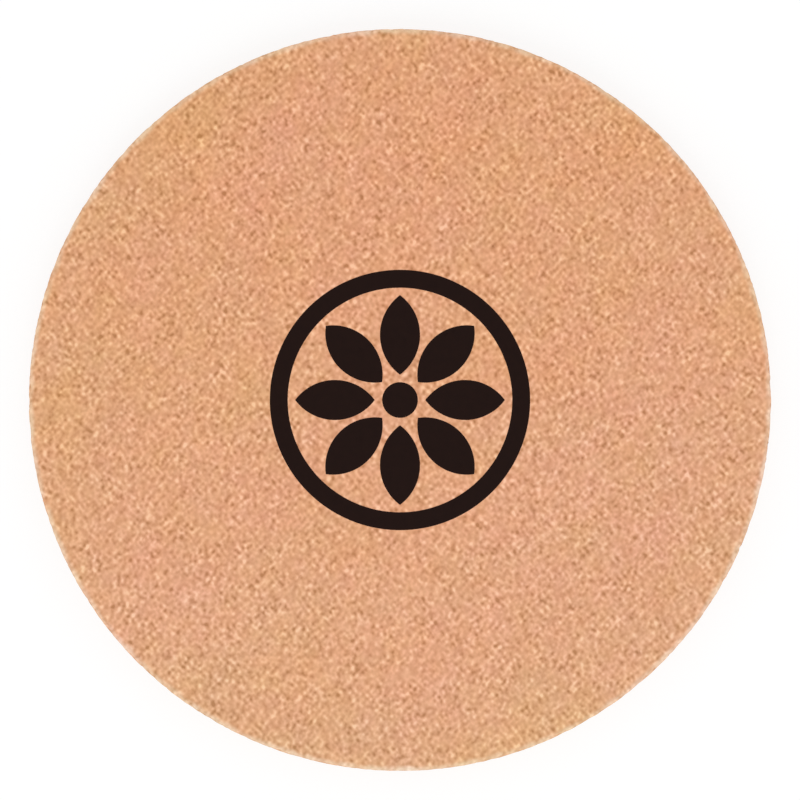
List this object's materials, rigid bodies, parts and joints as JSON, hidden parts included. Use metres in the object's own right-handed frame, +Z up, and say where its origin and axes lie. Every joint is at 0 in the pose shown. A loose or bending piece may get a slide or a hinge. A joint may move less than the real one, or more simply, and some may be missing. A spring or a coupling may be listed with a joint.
{
  "type": "coaster",
  "caption": "Round drinks coaster die-cut from fine-grained pressed cork, with softly rounded edges and a dark petal rosette printed level with its upper face.",
  "frame": {"origin": "middle of the underside, on the surface the coaster lies on", "axes": "+Z up through the coaster's thickness; +Y towards the first petal of the print; +X to the right of it"},
  "size_m": [0.1, 0.1, 0.005],
  "materials": {
    "cork": "matte",
    "print_ink": "matte"
  },
  "bodies": {
    "root": {"cork_disc": "cork", "print_ring": "print_ink", "print_center": "print_ink", "print_petal_1": "print_ink", "print_petal_2": "print_ink", "print_petal_3": "print_ink", "print_petal_4": "print_ink", "print_petal_5": "print_ink", "print_petal_6": "print_ink", "print_petal_7": "print_ink", "print_petal_8": "print_ink"}
  },
  "joints": []
}
